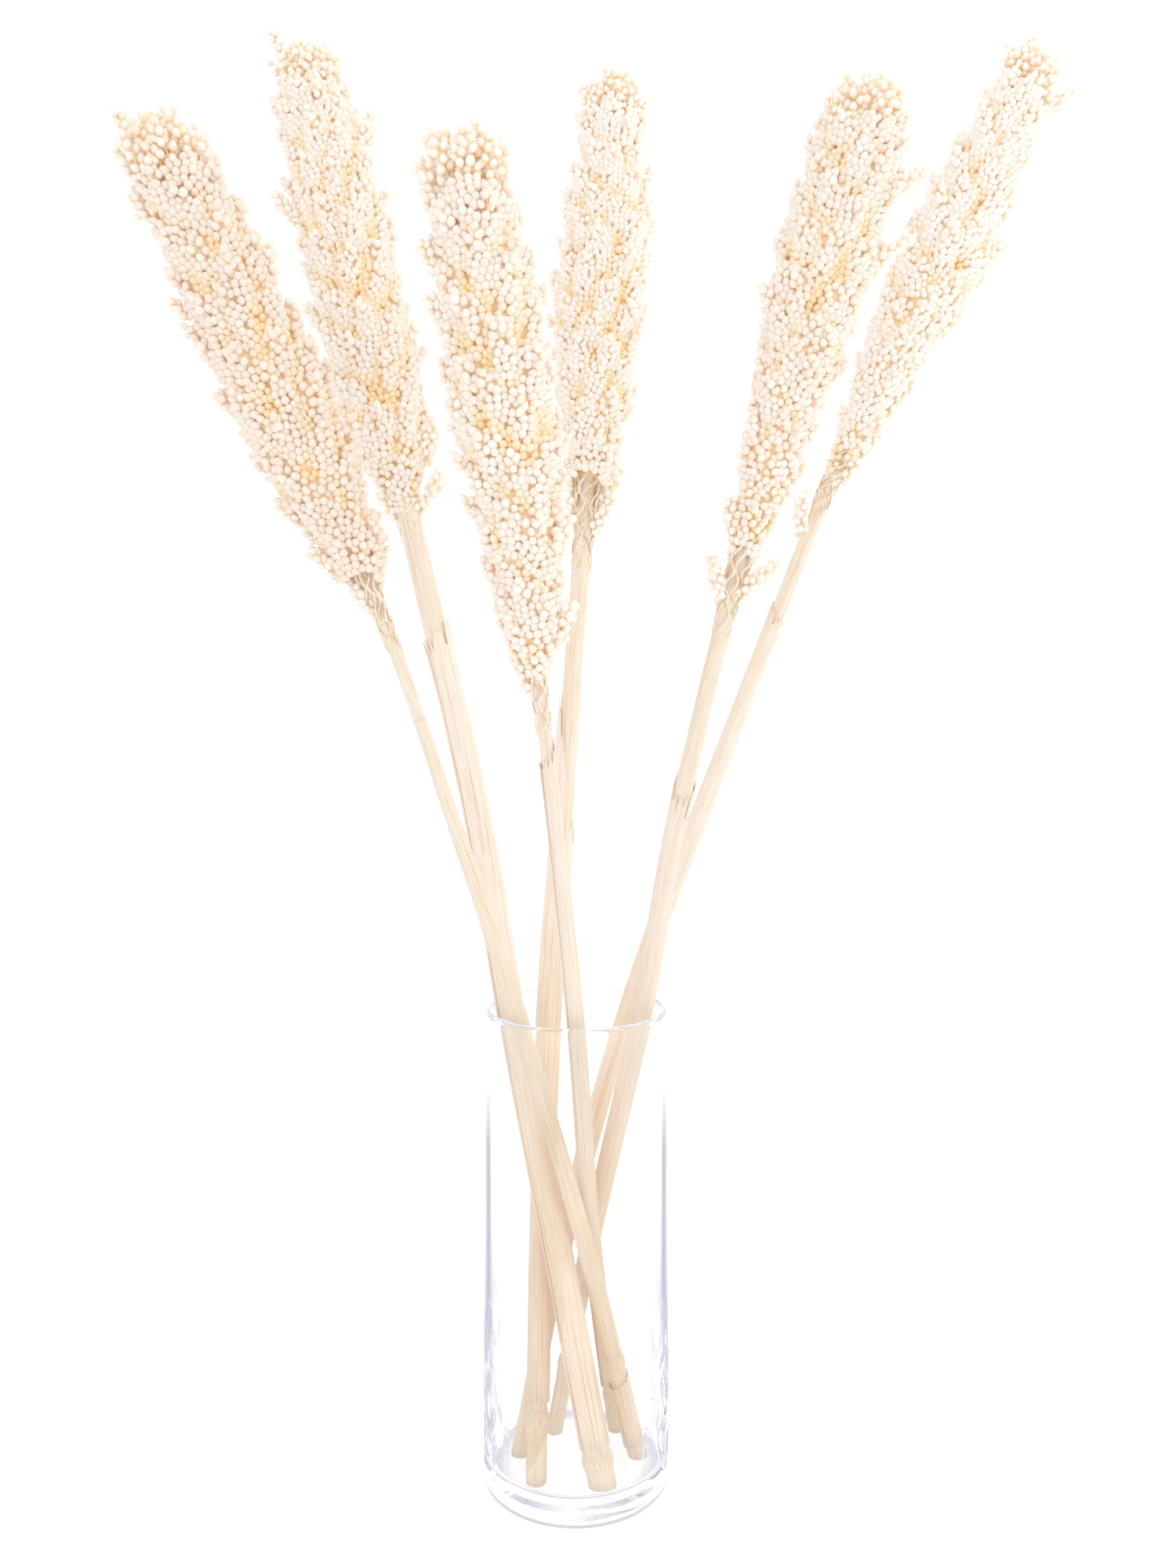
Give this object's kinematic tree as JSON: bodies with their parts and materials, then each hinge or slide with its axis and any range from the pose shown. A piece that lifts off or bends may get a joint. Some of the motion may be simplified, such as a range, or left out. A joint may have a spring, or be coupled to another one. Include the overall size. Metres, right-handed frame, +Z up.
{
  "type": "sorghum seed heads in a glass vase",
  "caption": "Bleached dry sorghum seed heads on tall stalks with leaf sheaths, fanning out of a clear glass cylinder vase.",
  "frame": {"origin": "centre of the vase's flat underside", "axes": "+Z up along the vase's axis, -Y towards the viewer of the arrangement, +X to that viewer's right"},
  "size_m": [0.4854, 0.2887, 0.8141],
  "materials": {
    "glass": "clear polished soda glass",
    "straw": "dry, bleached, satin with fine lengthwise lines",
    "husk": "dry leaf sheath with parallel veins",
    "grain": "bleached grains in papery husks"
  },
  "bodies": {
    "root": {"vase": "glass", "stalk_1": "straw", "stalk_2": "straw", "stalk_3": "straw", "stalk_4": "straw", "stalk_5": "straw", "stalk_6": "straw", "sheath_1": "husk", "sheath_2": "husk", "sheath_3": "husk", "sheath_4": "husk", "sheath_5": "husk", "sheath_6": "husk", "head_1": "grain", "head_2": "grain", "head_3": "grain", "head_4": "grain", "head_5": "grain", "head_6": "grain"}
  },
  "joints": []
}
